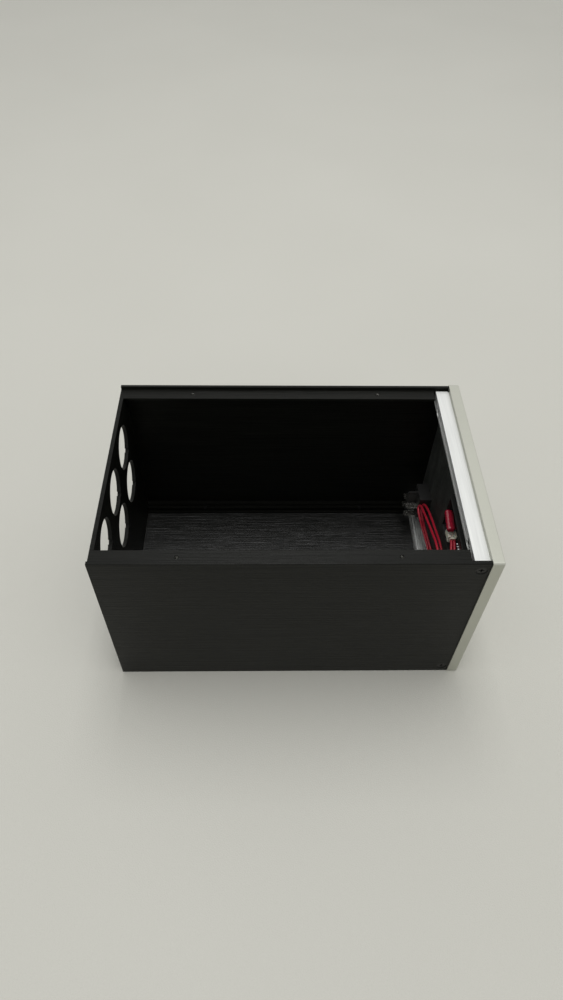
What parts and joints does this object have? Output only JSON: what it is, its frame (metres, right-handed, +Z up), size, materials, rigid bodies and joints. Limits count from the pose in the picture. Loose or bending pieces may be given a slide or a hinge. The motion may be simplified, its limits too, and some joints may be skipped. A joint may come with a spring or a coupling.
{
  "type": "sheet metal chassis",
  "caption": "Open-topped aluminium equipment chassis with a thick front plate, notched rear socket holes, a panel meter with its lead, and a rocker switch.",
  "frame": {"origin": "bottom centre of the whole, on the face it stands on", "axes": "+X towards the front plate, along the longest side; +Y towards the far side panel; +Z up"},
  "size_m": [0.315, 0.1996, 0.1758],
  "materials": {
    "black_anodised": "brushed satin",
    "silver_plate": "satin",
    "silver_rail": "satin",
    "liner": "matt",
    "black_screw": "black oxide",
    "steel_screw": "satin",
    "black_plastic": "matt",
    "rocker_plastic": "gloss",
    "tinted_window": "tinted",
    "board": "matt",
    "display": "matt",
    "red_epoxy": "gloss",
    "white_plastic": "satin",
    "solder": "bright",
    "red_wire": "satin",
    "terminal_metal": "tinned"
  },
  "bodies": {
    "chassis": {"side_panel_near": "black_anodised", "side_panel_far": "black_anodised", "bottom_plate": "black_anodised", "rear_plate": "black_anodised", "front_plate": "silver_plate", "front_liner": "liner", "front_rail_top": "silver_rail", "front_rail_bottom": "silver_rail", "rail_end_screws": "black_screw", "rear_plate_screws": "black_screw", "bottom_plate_screws": "black_screw", "front_plate_screws": "steel_screw", "meter_housing": "black_plastic", "meter_window": "tinted_window", "meter_board": "board", "meter_display": "display", "meter_capacitor": "red_epoxy", "meter_header": "white_plastic", "meter_pins": "solder", "lead_plug": "white_plastic", "lead_wire_inner": "red_wire", "lead_wire_outer": "red_wire", "switch_body": "black_plastic", "switch_terminals": "terminal_metal"},
    "rocker": {"switch_rocker": "rocker_plastic"}
  },
  "joints": [
    {"name": "rocker_hinge", "type": "hinge", "parent": "chassis", "child": "rocker", "pos_m": [0.15041, 0.0674, 0.0468], "axis": [0, 1, 0], "range_deg": [-20, 0]}
  ]
}
